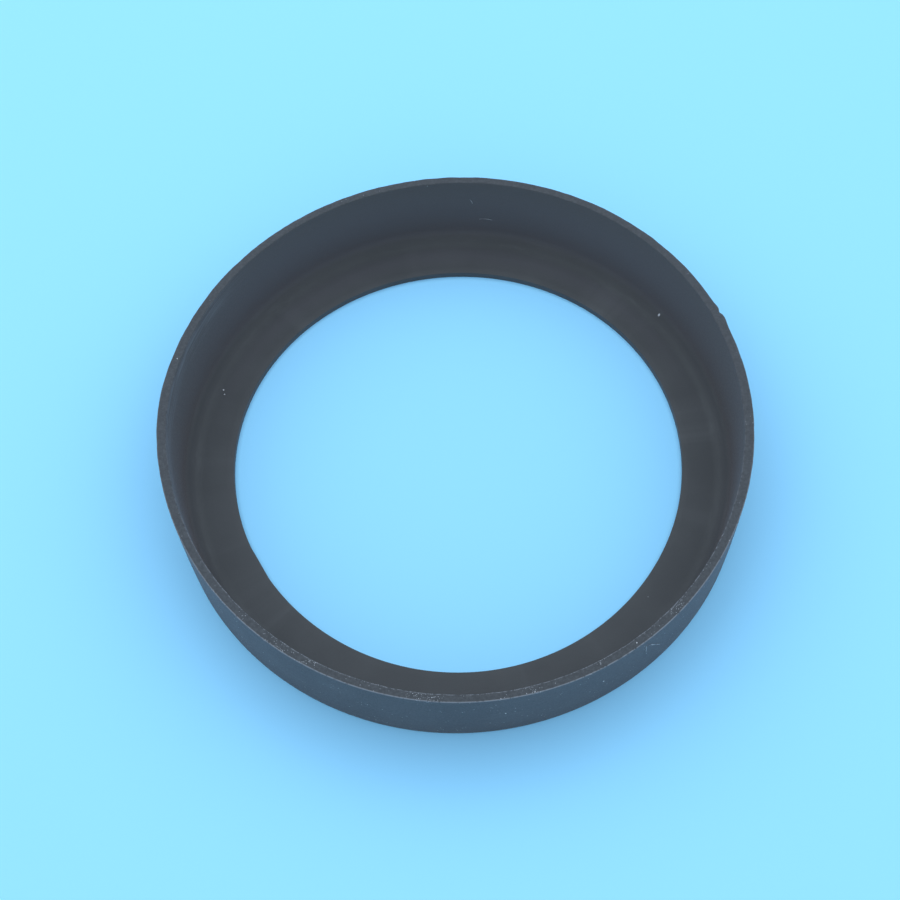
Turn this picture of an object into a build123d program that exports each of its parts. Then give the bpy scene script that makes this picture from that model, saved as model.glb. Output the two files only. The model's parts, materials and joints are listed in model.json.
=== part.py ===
from build123d import *
import os

# Cup seal: one moulded rubber ring of L-section, in millimetres.
# A thin wall stands on the outer edge of a flat base flange and ends in a square-trimmed lip.
# The ring stands on its base at Z = 0, with its axis on +Z and the open side of the cup upwards.

# Wall and lip
LIP_DIAMETER = 100.0
HEEL_DIAMETER = 98.5
HEIGHT = 17.0
LIP_LAND = 1.5
WALL_AT_HEEL = 2.0

# Base flange
BORE_DIAMETER = 79.0
BASE_THICKNESS = 1.4

# Moulded radii of the section; the bore and the lip are trimmed, so their edges are sharp
CORNER_RADIUS = 3.0
HEEL_RADIUS = 0.6

# Nick in the outer edge of the lip: a notch with one steep and one slack side
NICK_ANGLE = 22.2
NICK_DEPTH = 0.35
NICK_DROP = 1.6
NICK_STEEP_SIDE = 0.6
NICK_SLACK_SIDE = 1.7

# Stub of flash left on the wall of the bore, trimmed off straight
FLASH_ANGLE = 208.0
FLASH_STAND = 0.15
FLASH_THICKNESS = 0.6
FLASH_ROOT = 0.3

lip_radius = LIP_DIAMETER / 2
heel_radius = HEEL_DIAMETER / 2
bore_radius = BORE_DIAMETER / 2


def ring_section():
    """Half of the section: base flange, upright wall and lip, with its moulded corners rounded."""
    bore_foot = (bore_radius, 0)
    heel = (heel_radius, 0)
    lip_outer = (lip_radius, HEIGHT)
    lip_inner = (lip_radius - LIP_LAND, HEIGHT)
    corner = (heel_radius - WALL_AT_HEEL, BASE_THICKNESS)
    bore_top = (bore_radius, BASE_THICKNESS)
    outline = Polyline(bore_foot, heel, lip_outer, lip_inner, corner, bore_top, close=True)
    section = make_face(outline)
    for point, radius in ((heel, HEEL_RADIUS), (corner, CORNER_RADIUS)):
        vertex = section.vertices().sort_by_distance(point)[0]
        section = fillet(vertex, radius)
    return section


def lip_nick():
    """The notch's void: a V across the lip's outer edge that fades out down the wall."""
    reach = 2 * NICK_DEPTH
    outside = lip_radius + reach
    spread = (NICK_DEPTH + reach) / NICK_DEPTH
    notch = make_face(
        Polyline(
            (lip_radius - NICK_DEPTH, 0),
            (outside, NICK_STEEP_SIDE * spread),
            (outside, -NICK_SLACK_SIDE * spread),
            close=True,
        )
    )
    slope = Vector(NICK_DEPTH, 0, -NICK_DROP)
    start = Vector(-slope.X, 0, HEIGHT - slope.Z)
    void = extrude(Pos(start) * notch, amount=3 * slope.length, dir=slope)
    return Rot(Z=NICK_ANGLE) * void


def bore_flash():
    """The flash stub: a thin slice between the bore's wall and a chord just inside it."""
    root_radius = bore_radius + FLASH_ROOT
    chord_x = bore_radius - FLASH_STAND
    inside = Pos(chord_x - root_radius, 0) * Rectangle(2 * root_radius, 3 * root_radius)
    slice_face = Circle(root_radius) - inside
    stub = extrude(slice_face, amount=FLASH_THICKNESS)
    lift = (BASE_THICKNESS - FLASH_THICKNESS) / 2
    return Pos(0, 0, lift) * Rot(Z=FLASH_ANGLE) * stub


def cup_seal():
    """The whole ring: the revolved section, its nicked lip and the flash in its bore."""
    ring = revolve(Plane.XZ * ring_section(), axis=Axis.Z)
    return ring - lip_nick() + bore_flash()


os.makedirs("parts", exist_ok=True)
export_step(cup_seal(), "parts/cup_seal.step")
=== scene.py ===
import json
import math
import bmesh
import bpy
from mathutils import Matrix, Vector
from mathutils.bvhtree import BVHTree


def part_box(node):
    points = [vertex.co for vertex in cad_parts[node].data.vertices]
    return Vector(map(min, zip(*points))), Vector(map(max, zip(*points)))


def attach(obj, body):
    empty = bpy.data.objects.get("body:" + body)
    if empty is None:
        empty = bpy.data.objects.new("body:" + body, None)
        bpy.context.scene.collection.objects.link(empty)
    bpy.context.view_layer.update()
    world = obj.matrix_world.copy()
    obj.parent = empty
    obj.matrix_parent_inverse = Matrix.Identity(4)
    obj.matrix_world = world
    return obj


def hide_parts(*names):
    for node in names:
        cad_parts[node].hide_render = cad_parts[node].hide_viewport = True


# Cup seal: the looks of one moulded rubber ring of L-section.
# The ring is swept by Geometry Nodes from the same section as the solid, then made as uneven as
# soft rubber is: out of round at the lip and the bore, ragged where the lip was trimmed.

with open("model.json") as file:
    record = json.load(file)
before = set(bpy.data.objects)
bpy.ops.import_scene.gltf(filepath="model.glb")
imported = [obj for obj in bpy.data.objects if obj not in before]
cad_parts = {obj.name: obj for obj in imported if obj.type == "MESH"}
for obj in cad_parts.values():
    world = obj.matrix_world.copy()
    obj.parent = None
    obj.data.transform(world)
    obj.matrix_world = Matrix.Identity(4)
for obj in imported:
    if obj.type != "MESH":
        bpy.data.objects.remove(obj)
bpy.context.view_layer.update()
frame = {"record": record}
MM = 0.001

# Sizes held by the frame
LOW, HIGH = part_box("cup_seal")
BORE = next(m for m in frame["record"]["mounts"] if m["name"] == "base_bore")
LIP_RADIUS = HIGH.x
HEIGHT = HIGH.z
BORE_RADIUS = BORE["dims"]["r_mm"] * MM
BASE_THICKNESS = BORE["dims"]["length_mm"] * MM

# Sizes of the section that the frame doesn't state, as in the solid
HEEL_RADIUS = 49.25 * MM
LIP_LAND = 1.5 * MM
WALL_AT_HEEL = 2.0 * MM
CORNER_ROUNDING = 3.0 * MM
HEEL_ROUNDING = 0.6 * MM

# Sizes of the finish
TRIM_ROUNDING = 0.12 * MM     # the small radius on the trimmed edges
LIP_ZONE = 2.0 * MM           # depth of the finely divided zone under the lip
FINE_STEP = 0.4 * MM
COARSE_STEP = 1.3 * MM
COLUMNS = 1200                # steps round the ring

# Out of round, as soft rubber rests: (lobes in a turn, height in mm, angle of a crest in degrees)
LIP_LOBES = ((1, 0.1, 60), (3, 0.2, 45))
BORE_LOBES = ((1, 0.2, 45), (3, 0.15, 35))
LAND_LOBES = ((2, 0.15, 0),)
LIP_SHRINK = 0.35             # mm by which the free lip is smaller than its nominal radius
BORE_SHRINK = 0.25            # the same for the bore
LAND_SHRINK = 0.05            # the same for the land's width, on its inner side
WALL_BEND = 1.5               # how the lean grows up the wall: a power of the height

# One stretch of the lip leans further out than the rest
BULGE_ANGLE = 175.0
BULGE_STAND = 0.28 * MM
BULGE_WIDTH = 12.0            # degrees either side over which it dies away

# The nick: a small V with the rubber pushed outwards either side of it
NICK_ANGLE = 22.0
NICK_DEPTH = 0.24 * MM
NICK_SIDE = 0.6 * MM
NICK_DROP = 1.6 * MM
NICK_SWELLS = ((-1.3, 0.27, 1.4), (1.1, 0.14, 0.75))   # place, height and width in mm

# The flash stub on the wall of the bore
FLASH_ANGLE = 208.0
FLASH_STAND = 0.15 * MM
FLASH_REACH = 0.9             # cosine of the angle past which its chord is no longer followed

# Raggedness of the trimmed edges: the width of its waves, then how far they move the rubber
INNER_FRAY = 1.8 * MM
OUTER_FRAY = 2.6 * MM
INNER_RAG = 0.3 * MM
OUTER_RAG = 0.12 * MM
TOP_RAG = 0.2 * MM

# Shares of what lies on the rubber and of the painted light on the flange's rim, and of its relief
# beside that of the cut
FLANGE_RIM_SHARE = 0.7
SCUFF_AND_LIGHT_SHARE = 0.7
OUTER_LINE_SHARE = 0.7
INNER_LINE_SHARE = 0.55
MOULDED_RELIEF = 0.4

RUNS_ROUND = 5.0              # how often the run-lines change round the ring
SHARP_FOLD = 16.0             # degrees past which an edge is shaded sharp


def linear(hex_colour):
    """An sRGB hex colour as linear red, green, blue and alpha."""
    channels = [int(hex_colour[i:i + 2], 16) / 255 for i in (1, 3, 5)]
    return [c / 12.92 if c <= 0.04045 else ((c + 0.055) / 1.055) ** 2.4 for c in channels] + [1.0]


def feed(tree, node, sources):
    """Give a node's inputs their values, or link them to the node or socket that feeds them."""
    for key, source in sources.items():
        socket = node.inputs[key]
        if isinstance(source, bpy.types.Node):
            source = next(output for output in source.outputs if output.enabled)
        if isinstance(source, bpy.types.NodeSocket):
            tree.links.new(source, socket)
        else:
            socket.default_value = source


def add(tree, kind, sources=None, **settings):
    """Add a node: its settings first, then what each of its inputs takes."""
    node = tree.nodes.new(kind)
    for name, value in settings.items():
        setattr(node, name, value)
    feed(tree, node, sources or {})
    return node


def chain(tree, kind, sources, **settings):
    """Add nodes of one kind in a row: each takes what came before it and the next source."""
    total = sources[0]
    for source in sources[1:]:
        total = add(tree, kind, {0: total, 1: source}, **settings)
    return total


# ---------------------------------------------------------------- the ring's form


def new_tree(name, inputs):
    """A geometry node tree with named inputs: (name, socket type, value)."""
    tree = bpy.data.node_groups.new(name, "GeometryNodeTree")
    tree.interface.new_socket("Geometry", in_out="INPUT", socket_type="NodeSocketGeometry")
    tree.interface.new_socket("Geometry", in_out="OUTPUT", socket_type="NodeSocketGeometry")
    for label, kind, value in inputs:
        socket = tree.interface.new_socket(label, in_out="INPUT", socket_type=kind)
        if kind != "NodeSocketMaterial":
            socket.default_value = value
    return tree, add(tree, "NodeGroupInput").outputs, add(tree, "NodeGroupOutput")


def section_curve(tree, size):
    """The L-section as a closed curve in (reach from the bore, depth), its corners rounded."""
    inner_foot = add(
        tree, "ShaderNodeMath", {0: size["Heel Radius"], 1: size["Wall At Heel"]},
        operation="SUBTRACT")
    lip_inner = add(
        tree, "ShaderNodeMath", {0: size["Lip Radius"], 1: size["Lip Land"]},
        operation="SUBTRACT")
    shoulder = add(
        tree, "ShaderNodeMath", {0: size["Height"], 1: size["Lip Zone"]}, operation="SUBTRACT")
    inner_shoulder = add(
        tree, "ShaderNodeMapRange",
        {"Value": shoulder, "From Min": size["Base Thickness"], "From Max": size["Height"],
         "To Min": inner_foot, "To Max": lip_inner})
    outer_shoulder = add(
        tree, "ShaderNodeMapRange",
        {"Value": shoulder, "From Min": 0.0, "From Max": size["Height"],
         "To Min": size["Heel Radius"], "To Max": size["Lip Radius"]})
    # Each corner of the section: its reach, its height, its rounding and the points in its bend
    corners = (
        (size["Bore Radius"], 0.0, size["Trim Rounding"], 3),
        (size["Bore Radius"], size["Base Thickness"], size["Trim Rounding"], 3),
        (inner_foot, size["Base Thickness"], size["Corner Rounding"], 10),
        (inner_shoulder, shoulder, 0.0, 1),
        (lip_inner, size["Height"], size["Trim Rounding"], 4),
        (size["Lip Radius"], size["Height"], size["Trim Rounding"], 4),
        (outer_shoulder, shoulder, 0.0, 1),
        (size["Heel Radius"], 0.0, size["Heel Rounding"], 7),
    )
    places = []
    for reach, height, _, _ in corners:
        offset = add(
            tree, "ShaderNodeMath", {0: reach, 1: size["Bore Radius"]}, operation="SUBTRACT")
        depth = add(tree, "ShaderNodeMath", {0: height, 1: -1.0}, operation="MULTIPLY")
        places.append(add(tree, "ShaderNodeCombineXYZ", {0: offset, 1: depth}).outputs[0])
    roundings = [rounding for _, _, rounding, _ in corners]
    bends = [bend for _, _, _, bend in corners]

    # A switch gives each corner its own value, by the corner's number
    number = add(tree, "GeometryNodeInputIndex")
    switches = []
    for kind, values in (("VECTOR", places), ("FLOAT", roundings), ("INT", bends)):
        switch = add(tree, "GeometryNodeIndexSwitch", {"Index": number}, data_type=kind)
        for _ in values[len(switch.index_switch_items):]:
            switch.index_switch_items.new()
        feed(tree, switch, dict(enumerate(values, start=1)))
        switches.append(switch)
    place_switch, rounding_switch, bend_switch = switches
    points = add(tree, "GeometryNodePoints", {"Count": len(corners), "Position": place_switch})
    outline = add(tree, "GeometryNodePointsToCurves", {0: points})
    closed = add(tree, "GeometryNodeSetSplineCyclic", {"Geometry": outline, "Cyclic": True})
    rounded = add(
        tree, "GeometryNodeFilletCurve",
        {"Curve": closed, "Radius": rounding_switch, "Limit Radius": True}, mode="POLY")
    tree.links.new(bend_switch.outputs[0], rounded.inputs["Count"])

    # Longer stretches are divided, finely where they lie in the lip's zone. A stretch's two ends
    # are added up, so the depth they are held against is doubled.
    place = add(tree, "GeometryNodeInputPosition")
    following = add(tree, "GeometryNodeOffsetPointInCurve", {"Offset": 1})
    next_place = add(
        tree, "GeometryNodeFieldAtIndex",
        {"Value": place, "Index": following.outputs["Point Index"]},
        data_type="FLOAT_VECTOR", domain="POINT")
    stretch = add(tree, "ShaderNodeVectorMath", {0: place, 1: next_place}, operation="DISTANCE")
    both_ends = add(tree, "ShaderNodeVectorMath", {0: place, 1: next_place}, operation="ADD")
    depth = add(tree, "ShaderNodeSeparateXYZ", {0: both_ends})
    limit = add(tree, "ShaderNodeMath", {0: shoulder, 1: -2.0}, operation="MULTIPLY")
    in_lip = add(tree, "ShaderNodeMath", {0: depth.outputs["Y"], 1: limit}, operation="LESS_THAN")
    step = add(
        tree, "ShaderNodeMix",
        {"Factor": in_lip, "A": size["Coarse Step"], "B": size["Fine Step"]},
        data_type="FLOAT")
    share = add(tree, "ShaderNodeMath", {0: stretch.outputs["Value"], 1: step}, operation="DIVIDE")
    cuts = add(tree, "FunctionNodeFloatToInt", {0: share}, rounding_mode="FLOOR")
    return add(tree, "GeometryNodeSubdivideCurve", {"Curve": rounded, "Cuts": cuts})


def waves(tree, angle, lobes, start):
    """A start value in metres, with waves round the ring added: (lobes in a turn, mm, crest)."""
    total = start
    for count, height, crest in lobes:
        turn = add(
            tree, "ShaderNodeMath", {0: angle, 1: float(count), 2: -count * math.radians(crest)},
            operation="MULTIPLY_ADD")
        wave = add(tree, "ShaderNodeMath", {0: turn}, operation="COSINE")
        total = add(
            tree, "ShaderNodeMath", {0: wave, 1: height * MM, 2: total}, operation="MULTIPLY_ADD")
    return total


def ring_tree():
    """The ring: its section swept round the bore, then bent, nicked and frayed."""
    lengths = (
        ("Lip Radius", LIP_RADIUS), ("Heel Radius", HEEL_RADIUS), ("Height", HEIGHT),
        ("Lip Land", LIP_LAND), ("Wall At Heel", WALL_AT_HEEL), ("Bore Radius", BORE_RADIUS),
        ("Base Thickness", BASE_THICKNESS), ("Corner Rounding", CORNER_ROUNDING),
        ("Heel Rounding", HEEL_ROUNDING), ("Trim Rounding", TRIM_ROUNDING),
        ("Lip Zone", LIP_ZONE), ("Fine Step", FINE_STEP), ("Coarse Step", COARSE_STEP),
    )
    inputs = [(name, "NodeSocketFloat", value) for name, value in lengths]
    inputs += [("Columns", "NodeSocketInt", COLUMNS), ("Rubber", "NodeSocketMaterial", None)]
    tree, size, output = new_tree("seal_ring", inputs)

    circle = add(
        tree, "GeometryNodeCurvePrimitiveCircle",
        {"Resolution": size["Columns"], "Radius": size["Bore Radius"]})
    path = add(tree, "GeometryNodeSetCurveNormal", {"Curve": circle}, mode="Z_UP")
    swept = add(
        tree, "GeometryNodeCurveToMesh",
        {"Curve": path, "Profile Curve": section_curve(tree, size)})

    # Where a point lies: its angle, its reach from the axis and its height
    place = add(tree, "GeometryNodeInputPosition")
    xyz = add(tree, "ShaderNodeSeparateXYZ", {0: place})
    angle = add(
        tree, "ShaderNodeMath", {0: xyz.outputs["Y"], 1: xyz.outputs["X"]}, operation="ARCTAN2")
    flat = add(tree, "ShaderNodeVectorMath", {0: place, 1: (1, 1, 0)}, operation="MULTIPLY")
    outward = add(tree, "ShaderNodeVectorMath", {0: flat}, operation="NORMALIZE")
    reach = add(tree, "ShaderNodeVectorMath", {0: flat}, operation="LENGTH").outputs["Value"]
    height = xyz.outputs["Z"]

    # Where a point lies on the lip before any bending, in mm: outwards from the land's inner edge,
    # and below the land
    across = add(
        tree, "ShaderNodeMath", {0: reach, 1: LIP_RADIUS - LIP_LAND}, operation="SUBTRACT")
    across = add(tree, "ShaderNodeMath", {0: across, 1: 1 / MM}, operation="MULTIPLY")
    below = add(tree, "ShaderNodeMath", {0: HEIGHT, 1: height}, operation="SUBTRACT")
    below = add(tree, "ShaderNodeMath", {0: below, 1: 1 / MM}, operation="MULTIPLY")

    # Zones of the ring: what each is measured by, where it starts and ends, and its share there
    half_land = LIP_RADIUS - LIP_LAND / 2
    spans = {
        "near the top": (below, 0.0, 0.8, 1.0, 0.0),
        "land's inner side": (across, -0.2, 0.7, 1.0, 0.0),
        "land's outer side": (across, 1.1, 1.5, 0.0, 1.0),
        "inside the cup": (reach, half_land - 0.3 * MM, half_land, 1.0, 0.0),
        "above the corner": (height, 1.5 * MM, 4.5 * MM, 0.0, 1.0),
        "wall's foot begins": (height, 1.9 * MM, 3.6 * MM, 0.0, 1.0),
        "wall's foot ends": (height, 8.0 * MM, 22 * MM, 1.0, 0.0),
        "flange's rim begins": (reach, 40.5 * MM, 43.5 * MM, 0.0, 1.0),
        "flange's rim ends": (reach, 44.0 * MM, 45.5 * MM, 1.0, 0.0),
        "on the flange": (
            height, BASE_THICKNESS + 0.15 * MM, BASE_THICKNESS + 0.5 * MM, 1.0, 0.0),
        "bore to corner": (reach, BORE_RADIUS, HEEL_RADIUS - 3.5 * MM, 1.0, 0.0),
        "inner half of the land": (reach, LIP_RADIUS - 1.3 * MM, LIP_RADIUS - 0.9 * MM, 1.0, 0.0),
        "near the lip": (height, HEIGHT - 7 * MM, HEIGHT - 1 * MM, 0.0, 1.0),
        "outer skin": (reach, LIP_RADIUS - 1.0 * MM, LIP_RADIUS - 0.3 * MM, 0.0, 1.0),
        "nick's drop": (height, HEIGHT - NICK_DROP, HEIGHT, 0.0, 1.0),
        "at the bore": (reach, BORE_RADIUS + 0.2 * MM, BORE_RADIUS + 1.2 * MM, 1.0, 0.0),
    }
    zone = {
        name: add(
            tree, "ShaderNodeMapRange", dict(enumerate(span)), interpolation_type="SMOOTHSTEP")
        for name, span in spans.items()}
    near_top = zone["near the top"]
    inner_edge = chain(
        tree, "ShaderNodeMath", [zone["land's inner side"], near_top], operation="MULTIPLY")
    outer_edge = chain(
        tree, "ShaderNodeMath", [zone["land's outer side"], near_top], operation="MULTIPLY")
    inner_wall = chain(
        tree, "ShaderNodeMath", [zone["above the corner"], zone["inside the cup"]],
        operation="MULTIPLY")

    # Beside the corner inside the cup, where the material paints light over the shade: the foot of
    # the wall, and the flange inwards from it
    wall_foot = chain(
        tree, "ShaderNodeMath",
        [zone["wall's foot begins"], zone["wall's foot ends"], zone["inside the cup"]],
        operation="MULTIPLY")
    flange_rim = chain(
        tree, "ShaderNodeMath",
        [zone["flange's rim begins"], zone["flange's rim ends"], zone["on the flange"],
         FLANGE_RIM_SHARE], operation="MULTIPLY")
    painted_light_mask = add(tree, "ShaderNodeMath", {0: wall_foot, 1: flange_rim}, operation="ADD")

    # The lip and the bore are out of round, and the land's width varies
    up_wall = add(tree, "ShaderNodeMath", {0: height, 1: HEIGHT}, operation="DIVIDE")
    lip_share = add(tree, "ShaderNodeMath", {0: up_wall, 1: WALL_BEND}, operation="POWER")
    off_bulge = add(
        tree, "ShaderNodeMath", {0: angle, 1: math.radians(BULGE_ANGLE)}, operation="SUBTRACT")
    off_bulge = add(
        tree, "ShaderNodeMath", {0: off_bulge, 1: math.pi, 2: -math.pi}, operation="WRAP")
    off_bulge = add(
        tree, "ShaderNodeMath", {0: off_bulge, 1: 1 / math.radians(BULGE_WIDTH)},
        operation="MULTIPLY")
    falling = chain(tree, "ShaderNodeMath", [off_bulge, off_bulge, -1.0], operation="MULTIPLY")
    bulge = add(tree, "ShaderNodeMath", {0: falling}, operation="EXPONENT")
    bulge = add(tree, "ShaderNodeMath", {0: bulge, 1: BULGE_STAND}, operation="MULTIPLY")
    lean = add(
        tree, "ShaderNodeMath", {0: waves(tree, angle, LIP_LOBES, -LIP_SHRINK * MM), 1: bulge},
        operation="ADD")
    lip_bend = add(tree, "ShaderNodeMath", {0: lean, 1: lip_share}, operation="MULTIPLY")
    bore_bend = add(
        tree, "ShaderNodeMath",
        {0: waves(tree, angle, BORE_LOBES, -BORE_SHRINK * MM), 1: zone["bore to corner"]},
        operation="MULTIPLY")
    land_bend = chain(
        tree, "ShaderNodeMath",
        [waves(tree, angle, LAND_LOBES, -LAND_SHRINK * MM), zone["inner half of the land"],
         zone["near the lip"], -1.0], operation="MULTIPLY")

    # The trimmed edges are a little ragged, and the land dips here and there
    fray = add(
        tree, "ShaderNodeTexNoise", {"Vector": place, "Scale": 1 / INNER_FRAY, "Detail": 3.0})
    fray_out = add(
        tree, "ShaderNodeTexNoise", {"Vector": place, "Scale": 1 / OUTER_FRAY, "Detail": 4.0})
    fray_in = add(tree, "ShaderNodeMath", {0: fray, 1: 0.5}, operation="SUBTRACT")
    fray_down = add(tree, "ShaderNodeMath", {0: fray_out, 1: 1.0}, operation="SUBTRACT")
    fray_aside = add(tree, "ShaderNodeMath", {0: fray_out, 1: 0.5}, operation="SUBTRACT")
    ragged_in = chain(
        tree, "ShaderNodeMath", [fray_in, inner_edge, INNER_RAG], operation="MULTIPLY")
    ragged_out = chain(
        tree, "ShaderNodeMath", [fray_aside, outer_edge, OUTER_RAG], operation="MULTIPLY")
    ragged_top = chain(
        tree, "ShaderNodeMath", [fray_down, near_top, TOP_RAG], operation="MULTIPLY")

    # The nick in the lip's outer edge
    turn = add(
        tree, "ShaderNodeMath", {0: angle, 1: math.radians(NICK_ANGLE)}, operation="SUBTRACT")
    along = add(tree, "ShaderNodeMath", {0: turn, 1: LIP_RADIUS}, operation="MULTIPLY")
    off_nick = add(tree, "ShaderNodeMath", {0: along}, operation="ABSOLUTE")
    nick = add(
        tree, "ShaderNodeMapRange", {0: off_nick, 1: 0.0, 2: NICK_SIDE, 3: -NICK_DEPTH, 4: 0.0})
    for middle, rise, width in NICK_SWELLS:
        off = add(tree, "ShaderNodeMath", {0: along, 1: middle * MM}, operation="SUBTRACT")
        off = add(tree, "ShaderNodeMath", {0: off, 1: 1 / (width * MM)}, operation="MULTIPLY")
        falling = chain(tree, "ShaderNodeMath", [off, off, -1.0], operation="MULTIPLY")
        swell = add(tree, "ShaderNodeMath", {0: falling}, operation="EXPONENT")
        swell = add(tree, "ShaderNodeMath", {0: swell, 1: rise * MM}, operation="MULTIPLY")
        nick = add(tree, "ShaderNodeMath", {0: nick, 1: swell}, operation="ADD")
    nick = chain(
        tree, "ShaderNodeMath", [nick, zone["outer skin"], zone["nick's drop"]],
        operation="MULTIPLY")

    # The flash: the bore's wall runs straight across between two points
    flash_turn = add(
        tree, "ShaderNodeMath", {0: angle, 1: math.radians(FLASH_ANGLE - 360)},
        operation="SUBTRACT")
    cosine = add(tree, "ShaderNodeMath", {0: flash_turn}, operation="COSINE")
    cosine = add(tree, "ShaderNodeMath", {0: cosine, 1: FLASH_REACH}, operation="MAXIMUM")
    chord = add(
        tree, "ShaderNodeMath", {0: BORE_RADIUS - FLASH_STAND, 1: cosine}, operation="DIVIDE")
    chord = add(tree, "ShaderNodeMath", {0: chord, 1: BORE_RADIUS}, operation="SUBTRACT")
    chord = add(tree, "ShaderNodeMath", {0: chord, 1: 0.0}, operation="MINIMUM")
    flash = add(tree, "ShaderNodeMath", {0: chord, 1: zone["at the bore"]}, operation="MULTIPLY")

    sideways = chain(
        tree, "ShaderNodeMath",
        [lip_bend, bore_bend, land_bend, ragged_in, ragged_out, nick, flash], operation="ADD")
    move_out = add(
        tree, "ShaderNodeVectorMath", {0: outward, "Scale": sideways}, operation="SCALE")
    move_up = add(tree, "ShaderNodeCombineXYZ", {2: ragged_top})
    move = add(tree, "ShaderNodeVectorMath", {0: move_out, 1: move_up}, operation="ADD")

    # What the material needs to know, kept before the ring is bent
    marks = (("across_lip", across), ("below_lip", below), ("inner_wall", inner_wall),
             ("painted_light_mask", painted_light_mask))
    marked = swept
    for name, field in marks:
        marked = add(
            tree, "GeometryNodeStoreNamedAttribute",
            {"Geometry": marked, "Name": name, "Value": field},
            data_type="FLOAT", domain="POINT")
    bent = add(tree, "GeometryNodeSetPosition", {"Geometry": marked, "Offset": move})
    smooth = add(
        tree, "GeometryNodeSetShadeSmooth", {"Geometry": bent, "Shade Smooth": True},
        domain="FACE")
    fold = add(tree, "GeometryNodeInputMeshEdgeAngle")
    is_sharp = add(
        tree, "ShaderNodeMath", {0: fold.outputs["Unsigned Angle"], 1: math.radians(SHARP_FOLD)},
        operation="GREATER_THAN")
    shaded = add(
        tree, "GeometryNodeSetShadeSmooth",
        {"Geometry": smooth, "Selection": is_sharp, "Shade Smooth": False}, domain="EDGE")
    whole = add(tree, "GeometryNodeRealizeInstances", {"Geometry": shaded})
    dressed = add(tree, "GeometryNodeSetMaterial", {"Geometry": whole, "Material": size["Rubber"]})
    tree.links.new(dressed.outputs[0], output.inputs[0])
    return tree


def made_by_nodes(name, tree, source_mesh, material_input, material):
    """Run a tree on a mesh and return the result as an object with a plain mesh."""
    piece = bpy.data.objects.new(name, source_mesh)
    bpy.context.scene.collection.objects.link(piece)
    modifier = piece.modifiers.new("nodes", "NODES")
    modifier.node_group = tree
    socket = next(s for s in tree.interface.items_tree if s.name == material_input)
    modifier[socket.identifier] = material
    depsgraph = bpy.context.evaluated_depsgraph_get()
    mesh = bpy.data.meshes.new_from_object(piece.evaluated_get(depsgraph))
    piece.modifiers.remove(modifier)
    piece.data = mesh
    mesh.name = name
    return piece


# ---------------------------------------------------------------- materials


def new_material(name):
    """An empty node material with its output node."""
    material = bpy.data.materials.new(name)
    material.use_nodes = True
    material.node_tree.nodes.clear()
    return material, material.node_tree, add(material.node_tree, "ShaderNodeOutputMaterial")


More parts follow.
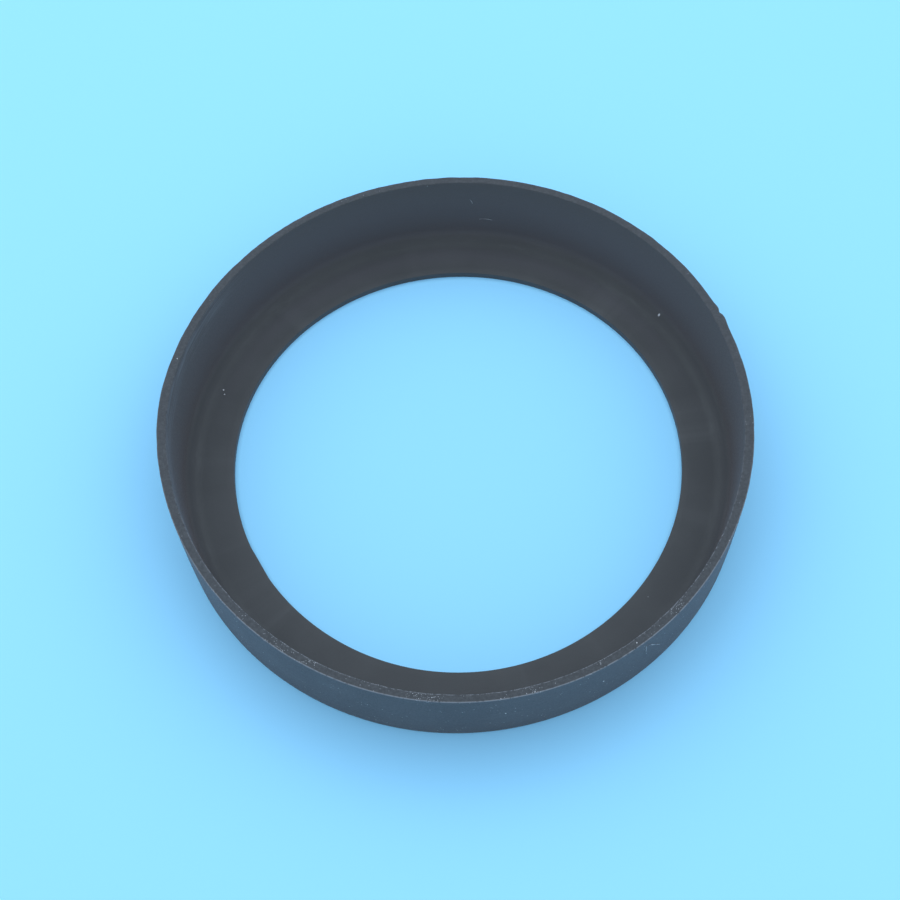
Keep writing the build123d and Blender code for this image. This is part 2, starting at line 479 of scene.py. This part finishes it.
def moulded_nitrile():
    """Carbon-black nitrile rubber, compression moulded: matt, near black, with a faint sheen and
    painted light and shade.
    """
    material, tree, output = new_material("moulded_nitrile_rubber")
    place = add(tree, "ShaderNodeTexCoord").outputs["Object"]
    xyz = add(tree, "ShaderNodeSeparateXYZ", {0: place})

    # Run-lines from the mould: long round the ring, under a millimetre apart up the wall
    flat = add(tree, "ShaderNodeVectorMath", {0: place, 1: (1, 1, 0)}, operation="MULTIPLY")
    outward = add(tree, "ShaderNodeVectorMath", {0: flat}, operation="NORMALIZE")
    lifted = add(
        tree, "ShaderNodeMath", {0: xyz.outputs["Z"], 1: 1 / (0.9 * MM)}, operation="MULTIPLY")
    around = add(
        tree, "ShaderNodeVectorMath", {0: outward, "Scale": RUNS_ROUND}, operation="SCALE")
    up = add(tree, "ShaderNodeCombineXYZ", {2: lifted})
    run_place = add(tree, "ShaderNodeVectorMath", {0: around, 1: up}, operation="ADD")
    runs = add(
        tree, "ShaderNodeTexNoise",
        {"Vector": run_place, "Scale": 1.0, "Detail": 4.0, "Roughness": 0.6})
    clouds = add(
        tree, "ShaderNodeTexNoise", {"Vector": place, "Scale": 1 / (9 * MM), "Detail": 3.0})
    grain = add(
        tree, "ShaderNodeTexNoise",
        {"Vector": place, "Scale": 1 / (0.28 * MM), "Detail": 3.0, "Roughness": 0.65})
    cut_grain = add(
        tree, "ShaderNodeTexNoise",
        {"Vector": place, "Scale": 1 / (0.45 * MM), "Detail": 4.0, "Roughness": 0.7})
    fine_up = add(tree, "ShaderNodeVectorMath", {0: up, "Scale": 3.2}, operation="SCALE")
    scuff_place = add(tree, "ShaderNodeVectorMath", {0: around, 1: fine_up}, operation="ADD")
    scuffs = add(tree, "ShaderNodeTexNoise", {"Vector": scuff_place, "Scale": 1.0, "Detail": 2.0})

    # Where a point lies on the ring, as its mesh keeps it
    wall = add(tree, "ShaderNodeAttribute", attribute_name="inner_wall").outputs["Fac"]
    corner = add(tree, "ShaderNodeAttribute", attribute_name="painted_light_mask").outputs["Fac"]
    below = add(tree, "ShaderNodeAttribute", attribute_name="below_lip").outputs["Fac"]
    across = add(tree, "ShaderNodeAttribute", attribute_name="across_lip").outputs["Fac"]

    # Where each finish shows: what it goes by, where it starts and ends, and its share there
    spans = {
        "clouds": (clouds, 0.3, 0.7, 0.0, 1.0),
        "run-lines": (runs, 0.52, 0.75, 0.0, 0.5),
        "film_and_painted_lift": (runs, 0.2, 0.6, 0.7, 1.0),
        "more painted light at the back": (xyz.outputs["Y"], 0.0, 40 * MM, 0.05, 0.5),
        "painted shade begins": (wall, 0.002, 0.05, 0.0, 1.0),
        "painted shade ends": (wall, 0.2, 0.5, 1.0, 0.0),
        "less painted shade at the back": (xyz.outputs["Y"], 10 * MM, 45 * MM, 0.4, 0.15),
        "scuffs": (scuffs, 0.46, 0.6, 0.0, 1.0),
        "under the lip": (below, 2.5, 5.0, 1.0, 0.0),
        "left side": (xyz.outputs["X"], -34 * MM, -45 * MM, 0.0, 1.0),
        "filler": (cut_grain, 0.35, 0.7, 0.0, 1.0),
        "land": (below, 0.02, 0.1, 1.0, 0.0),
        "land's edges": (below, 0.12, 0.3, 1.0, 0.0),
        "highlit front": (xyz.outputs["Y"], -38 * MM, 15 * MM, 1.0, 0.15),
        "outer edge": (across, 1.31, 1.4, 0.0, 1.0),
        "inner edge": (across, 0.06, 0.2, 1.0, 0.0),
        "line": (cut_grain, 0.3, 0.5, 0.0, 1.0),
        "dots": (cut_grain, 0.42, 0.58, 0.0, 1.0),
        "dull to satin": (grain, 0.3, 0.7, 0.5, 0.66),
    }
    zone = {
        name: add(
            tree, "ShaderNodeMapRange", dict(enumerate(span)), interpolation_type="SMOOTHSTEP")
        for name, span in spans.items()}

    # Inside the cup the wall keeps a thin brownish film, which the flange has been wiped free of;
    # its lighter tone is also painted light, lifting the shade low on the wall.
    # Painted light lifts the shade by the corner, most at the back; painted shade darkens the
    # corner.
    # Fine pale scuffs run round the wall just under the lip, on one side only; their lighter band
    # is also painted light.
    # A brownish film, and with it painted light that lifts the inner wall's shade
    film_and_painted_lift = chain(tree, "ShaderNodeMath", [wall, zone["film_and_painted_lift"]], operation="MULTIPLY")
    # Painted light: a paler tone on the wall's foot and the flange's rim, most at the back
    painted_corner_light = chain(
        tree, "ShaderNodeMath", [corner, zone["more painted light at the back"]], operation="MULTIPLY")
    # Painted shade: a darker tone on the corner's fillet, less at the back
    painted_corner_shade = chain(
        tree, "ShaderNodeMath",
        [zone["painted shade begins"], zone["painted shade ends"], zone["less painted shade at the back"]],
        operation="MULTIPLY")
    # Scuffs, and with them painted light on the wall under the lip, on the left side
    scuffs_and_painted_light = chain(
        tree, "ShaderNodeMath",
        [zone["scuffs"], wall, zone["under the lip"], zone["left side"], SCUFF_AND_LIGHT_SHARE],
        operation="MULTIPLY")
    tone = linear("#3F4242")
    for share, colour in (
            (zone["clouds"], "#444747"), (zone["run-lines"], "#505353"), (film_and_painted_lift, "#484743"),
            (painted_corner_light, "#56565A"), (painted_corner_shade, "#37393A"), (scuffs_and_painted_light, "#62676A")):
        tone = add(
            tree, "ShaderNodeMix", {"Factor": share, 6: tone, 7: linear(colour)}, data_type="RGBA")

    # The trimmed land shows the cut rubber: a little paler, peppered with filler
    land = zone["land"]
    cut_tone = add(
        tree, "ShaderNodeMix",
        {"Factor": zone["filler"], 6: linear("#353A3C"), 7: linear("#43484A")}, data_type="RGBA")
    cut = add(tree, "ShaderNodeMix", {"Factor": land, 6: tone, 7: cut_tone}, data_type="RGBA")

    # Both land edges are rubbed pale with painted highlights, most at the front: outer in a line,
    # inner in dots
    top = zone["land's edges"]
    highlit_front = zone["highlit front"]
    # Painted highlights along the land's edges, with some wear, stronger towards the front
    outer_line = chain(
        tree, "ShaderNodeMath",
        [zone["outer edge"], top, zone["line"], highlit_front, OUTER_LINE_SHARE],
        operation="MULTIPLY")
    inner_line = chain(
        tree, "ShaderNodeMath",
        [zone["inner edge"], top, zone["dots"], highlit_front, highlit_front, INNER_LINE_SHARE],
        operation="MULTIPLY")
    rubbed_and_highlit = add(tree, "ShaderNodeMath", {0: outer_line, 1: inner_line}, operation="ADD")
    edged = add(
        tree, "ShaderNodeMix", {"Factor": rubbed_and_highlit, 6: cut, 7: linear("#83878B")}, data_type="RGBA")

    moulded_grain = add(
        tree, "ShaderNodeMath", {0: grain, 1: MOULDED_RELIEF}, operation="MULTIPLY")
    relief = add(
        tree, "ShaderNodeMix", {"Factor": land, 2: moulded_grain, 3: cut_grain}, data_type="FLOAT")
    bump = add(
        tree, "ShaderNodeBump", {"Height": relief, "Strength": 0.35, "Distance": 0.06 * MM})
    shader = add(
        tree, "ShaderNodeBsdfPrincipled",
        {"Base Color": edged, "Roughness": zone["dull to satin"], "IOR": 1.5,
         "Specular IOR Level": 0.26, "Sheen Weight": 0.06, "Sheen Roughness": 0.7,
         "Sheen Tint": linear("#FFE2F2"), "Normal": bump})
    tree.links.new(shader.outputs[0], output.inputs["Surface"])
    return material


def lint_material(name, dark, pale):
    """Textile lint or house dust: pale grey and dull, mottled between two tones."""
    material, tree, output = new_material(name)
    place = add(tree, "ShaderNodeTexCoord").outputs["Object"]
    mottle = add(
        tree, "ShaderNodeTexNoise", {"Vector": place, "Scale": 1 / (1.5 * MM), "Detail": 2.0})
    mottled = add(
        tree, "ShaderNodeMapRange", {0: mottle, 1: 0.35, 2: 0.65}, interpolation_type="SMOOTHSTEP")
    tone = add(
        tree, "ShaderNodeMix", {"Factor": mottled, 6: linear(dark), 7: linear(pale)},
        data_type="RGBA")
    shader = add(tree, "ShaderNodeBsdfPrincipled", {"Base Color": tone, "Roughness": 0.85})
    tree.links.new(shader.outputs[0], output.inputs["Surface"])
    return material


def painted_board():
    """Pale blue painted board, dead matt."""
    material, tree, output = new_material("painted_board")
    place = add(tree, "ShaderNodeTexCoord").outputs["Object"]
    mottle = add(tree, "ShaderNodeTexNoise", {"Vector": place, "Scale": 4.0, "Detail": 2.0})
    tone = add(
        tree, "ShaderNodeMix",
        {"Factor": mottle, 6: linear("#97D9FA"), 7: linear("#99DBFB")}, data_type="RGBA")
    shader = add(
        tree, "ShaderNodeBsdfPrincipled",
        {"Base Color": tone, "Roughness": 0.8, "Specular IOR Level": 0.1})
    tree.links.new(shader.outputs[0], output.inputs["Surface"])
    return material


# ---------------------------------------------------------------- lint and dust on the rubber


CLUMP_SHIFT = (0.064, 0.011, 0.069)     # moves the clumps of dust to where they lie
CLUMP_WIDTH = 3.5 * MM
LAND_DUST = 9e6               # flecks to a square metre in the thick of a clump
WALL_DUST = 9e5
OTHER_DUST = 6e3


def dust_tree():
    """Flecks of dust scattered over a surface in clumps, thickest on the front of the lip."""
    inputs = [
        ("Fleck", "NodeSocketFloat", 0.12 * MM), ("Seed", "NodeSocketInt", 7),
        ("Dust", "NodeSocketMaterial", None)]
    tree, size, output = new_tree("dust_flecks", inputs)
    place = add(tree, "GeometryNodeInputPosition")
    xyz = add(tree, "ShaderNodeSeparateXYZ", {0: place})
    flat = add(tree, "ShaderNodeVectorMath", {0: place, 1: (1, 1, 0)}, operation="MULTIPLY")
    reach = add(tree, "ShaderNodeVectorMath", {0: flat}, operation="LENGTH").outputs["Value"]
    shifted = add(tree, "ShaderNodeVectorMath", {0: place, 1: CLUMP_SHIFT}, operation="ADD")
    clumps = add(
        tree, "ShaderNodeTexNoise", {"Vector": shifted, "Scale": 1 / CLUMP_WIDTH, "Detail": 1.0})

    # Where the dust lies: what each zone is measured by, where it starts and ends, its share there
    spans = {
        "front": (xyz.outputs["Y"], -5 * MM, -42 * MM, 0.03, 1.0),
        "land": (xyz.outputs["Z"], HEIGHT - 0.4 * MM, HEIGHT - 0.2 * MM, 0.0, 1.0),
        "outer wall": (reach, HEEL_RADIUS - 0.5 * MM, HEEL_RADIUS - 0.3 * MM, 0.0, 1.0),
        "off the floor": (xyz.outputs["Z"], 0.6 * MM, 1.0 * MM, 0.0, 1.0),
        "clumps": (clumps, 0.48, 0.72, 0.0, 1.0),
        "finer on the land": (xyz.outputs["Z"], HEIGHT - 0.4 * MM, HEIGHT - 0.2 * MM, 1.0, 0.7),
    }
    zone = {
        name: add(
            tree, "ShaderNodeMapRange", dict(enumerate(span)), interpolation_type="SMOOTHSTEP")
        for name, span in spans.items()}
    on_land = chain(tree, "ShaderNodeMath", [zone["land"], LAND_DUST], operation="MULTIPLY")
    on_wall = chain(tree, "ShaderNodeMath", [zone["outer wall"], WALL_DUST], operation="MULTIPLY")
    dusty = chain(tree, "ShaderNodeMath", [on_land, on_wall, OTHER_DUST], operation="ADD")
    density = chain(
        tree, "ShaderNodeMath", [dusty, zone["clumps"], zone["front"], zone["off the floor"]],
        operation="MULTIPLY")
    scattered = add(
        tree, "GeometryNodeDistributePointsOnFaces",
        {"Mesh": size["Geometry"], "Density": density, "Seed": size["Seed"]})
    shape = add(tree, "GeometryNodeMeshIcoSphere", {"Radius": 1.0, "Subdivisions": 1})
    stretch = add(
        tree, "FunctionNodeRandomValue", {0: (0.5, 0.5, 0.2), 1: (1.4, 1.0, 0.35), "Seed": 3},
        data_type="FLOAT_VECTOR")
    fleck = chain(
        tree, "ShaderNodeMath", [zone["finer on the land"], size["Fleck"]], operation="MULTIPLY")
    scale = add(tree, "ShaderNodeVectorMath", {0: stretch, "Scale": fleck}, operation="SCALE")
    spin = add(
        tree, "FunctionNodeRandomValue", {2: 0.0, 3: math.tau, "Seed": 11}, data_type="FLOAT")
    spin_turn = add(tree, "FunctionNodeAxisAngleToRotation", {"Axis": (0, 0, 1), "Angle": spin})
    turned = add(
        tree, "FunctionNodeRotateRotation",
        {0: scattered.outputs["Rotation"], 1: spin_turn}, rotation_space="LOCAL")
    flecks = add(
        tree, "GeometryNodeInstanceOnPoints",
        {"Points": scattered.outputs["Points"], "Instance": shape, "Rotation": turned,
         "Scale": scale})
    whole = add(tree, "GeometryNodeRealizeInstances", {"Geometry": flecks})
    dressed = add(tree, "GeometryNodeSetMaterial", {"Geometry": whole, "Material": size["Dust"]})
    tree.links.new(dressed.outputs[0], output.inputs[0])
    return tree


# Each fibre: name, thickness in mm, and its points as angle in degrees, reach and height in mm
FIBRES = (
    ("lint_long_leg", 0.12, ((305.5, 50, 14), (307, 50, 12), (309, 50, 9))),
    ("lint_short_leg", 0.1, ((305, 50, 14), (305, 50, 12), (305.5, 50, 10))),
    ("lint_dash", 0.05, ((80, 47, 7), (81.5, 47, 7.5), (83, 47, 7))),
    ("lint_tick", 0.07, ((85, 47, 12.5), (84.5, 47, 12), (84.5, 47, 11.5))),
)

# The few crumbs that stand out: width in mm, angle in degrees, reach and height in mm
CRUMBS = (
    (0.7, 36, 47.5, 2), (0.35, 159, 44.5, 1.5), (0.35, 160, 44, 1.5), (0.3, 164, 49, 17),
    (0.4, 277, 50, 9.5), (0.45, 296, 50, 9.5), (0.25, 303, 49, 17),
)


def fibre(name, thickness, points, surface, material):
    """One fibre of lint, drawn over the rubber's surface through a few places on it."""
    curve = bpy.data.curves.new(name, "CURVE")
    curve.dimensions = "3D"
    curve.bevel_depth = thickness * MM / 2
    curve.bevel_resolution = 1
    curve.use_fill_caps = True
    spline = curve.splines.new("NURBS")
    spline.points.add(len(points) - 1)
    for point, (turn, reach, height) in zip(spline.points, points):
        angle = math.radians(turn)
        aim = Vector((math.cos(angle) * reach, math.sin(angle) * reach, height)) * MM
        spot, normal, _, _ = surface.find_nearest(aim)
        point.co = (*(spot + normal * curve.bevel_depth), 1.0)
    spline.order_u = 3
    spline.use_endpoint_u = True
    holder = bpy.data.objects.new(name, curve)
    bpy.context.scene.collection.objects.link(holder)
    depsgraph = bpy.context.evaluated_depsgraph_get()
    mesh = bpy.data.meshes.new_from_object(holder.evaluated_get(depsgraph))
    bpy.data.objects.remove(holder)
    piece = bpy.data.objects.new(name, mesh)
    bpy.context.scene.collection.objects.link(piece)
    mesh.materials.clear()
    mesh.materials.append(material)
    return piece


def crumbs(name, table, surface, material):
    """Crumbs of dust lying on the rubber at chosen places, all in one mesh."""
    shapes = bmesh.new()
    for width, turn, reach, height in table:
        angle = math.radians(turn)
        aim = Vector((math.cos(angle) * reach, math.sin(angle) * reach, height)) * MM
        spot, normal, _, _ = surface.find_nearest(aim)
        stand = normal.to_track_quat("Z", "X").to_matrix().to_4x4()
        size = Matrix.Diagonal((width * MM / 2, width * MM / 3, width * MM / 6, 1.0))
        bmesh.ops.create_icosphere(
            shapes, subdivisions=1, radius=1.0, matrix=Matrix.Translation(spot) @ stand @ size)
    mesh = bpy.data.meshes.new(name)
    shapes.to_mesh(mesh)
    shapes.free()
    mesh.materials.append(material)
    piece = bpy.data.objects.new(name, mesh)
    bpy.context.scene.collection.objects.link(piece)
    return piece


# ---------------------------------------------------------------- build


rubber = moulded_nitrile()
lint = lint_material("textile_lint", "#6B7076", "#B9BDC0")
fine_dust = lint_material("fine_dust", "#62666A", "#9CA0A3")
crumb_dust = lint_material("crumb_dust", "#A6AAAC", "#D5D7D8")
ring = made_by_nodes("seal_ring", ring_tree(), bpy.data.meshes.new("start"), "Rubber", rubber)
dust = made_by_nodes("dust_flecks", dust_tree(), ring.data.copy(), "Dust", fine_dust)
rubber_surface = BVHTree.FromObject(ring, bpy.context.evaluated_depsgraph_get())
fibres = [fibre(*laid, rubber_surface, lint) for laid in FIBRES]
dots = crumbs("dust_crumbs", CRUMBS, rubber_surface, crumb_dust)

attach(ring, "root")
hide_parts("cup_seal")
for piece in (dust, dots, *fibres):
    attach(piece, "root")


# ---------------------------------------------------------------- floor, light and camera


def soft_light(name, place, width, height, watts, colour):
    """A soft box that faces the middle of the ring."""
    lamp = bpy.data.lights.new(name, "AREA")
    lamp.shape = "RECTANGLE"
    lamp.size = width
    lamp.size_y = height
    lamp.energy = watts
    lamp.color = linear(colour)[:3]
    holder = bpy.data.objects.new(name, lamp)
    bpy.context.scene.collection.objects.link(holder)
    holder.location = place
    holder.rotation_euler = (-Vector(place)).to_track_quat("-Z", "Y").to_euler()


def world_light(strength, sky, backdrop):
    """An even studio surround. What the camera sees directly is the pale backdrop."""
    world = bpy.data.worlds.new("studio")
    world.use_nodes = True
    tree = world.node_tree
    tree.nodes.clear()
    surround = add(tree, "ShaderNodeBackground", {"Color": linear(sky), "Strength": strength})
    seen = add(tree, "ShaderNodeBackground", {"Color": linear(backdrop), "Strength": 1.0})
    camera_ray = add(tree, "ShaderNodeLightPath").outputs["Is Camera Ray"]
    both = add(tree, "ShaderNodeMixShader", {0: camera_ray, 1: surround, 2: seen})
    add(tree, "ShaderNodeOutputWorld", {"Surface": both})
    bpy.context.scene.world = world


FLOOR_SIZE = 10.0
floor_mesh = bpy.data.meshes.new("floor")
half = FLOOR_SIZE / 2
floor_mesh.from_pydata(
    [(-half, -half, 0), (half, -half, 0), (half, half, 0), (-half, half, 0)], [], [(0, 1, 2, 3)])
floor_mesh.materials.append(painted_board())
floor = bpy.data.objects.new("floor", floor_mesh)
bpy.context.scene.collection.objects.link(floor)

# Two softboxes stand high behind the ring, left and right; the rest of the studio is even
SOFTBOX_SIZE = 0.67
SOFTBOX_DISTANCE = 0.6
LEFT_SOFTBOX = ("left_softbox", 146, 55, 1.3)      # name, azimuth, elevation, watts
RIGHT_SOFTBOX = ("right_softbox", 23, 58, 1.05)
FILL_STRENGTH = 1.0
for name, azimuth, elevation, watts in (LEFT_SOFTBOX, RIGHT_SOFTBOX):
    level = math.radians(elevation)
    heading = math.radians(azimuth)
    toward = Vector((
        math.cos(heading) * math.cos(level), math.sin(heading) * math.cos(level),
        math.sin(level)))
    soft_light(name, toward * SOFTBOX_DISTANCE, SOFTBOX_SIZE, SOFTBOX_SIZE, watts, "#E4F0FF")
world_light(FILL_STRENGTH, "#DDECFF", "#97E4FC")

# The camera looks down on the ring from the front, a little rolled
CAMERA_DISTANCE = 281.8 * MM
CAMERA_ELEVATION = 62.8
CAMERA_ROLL = -2.7
AIM = Vector((-1.2, 2.7, 0.0)) * MM
LENS = 64                     # focal length and sensor width in mm
SENSOR_WIDTH = 36

camera_data = bpy.data.cameras.new("camera")
camera_data.lens = LENS
camera_data.sensor_width = SENSOR_WIDTH
camera = bpy.data.objects.new("camera", camera_data)
bpy.context.scene.collection.objects.link(camera)
tilt = math.radians(CAMERA_ELEVATION)
camera.location = CAMERA_DISTANCE * Vector((0, -math.cos(tilt), math.sin(tilt)))
view = (AIM - camera.location).to_track_quat("-Z", "Y").to_matrix()
roll = Matrix.Rotation(math.radians(CAMERA_ROLL), 3, "Z")
camera.rotation_euler = (view @ roll).to_euler()
bpy.context.scene.camera = camera
bpy.context.scene.view_settings.view_transform = "Standard"
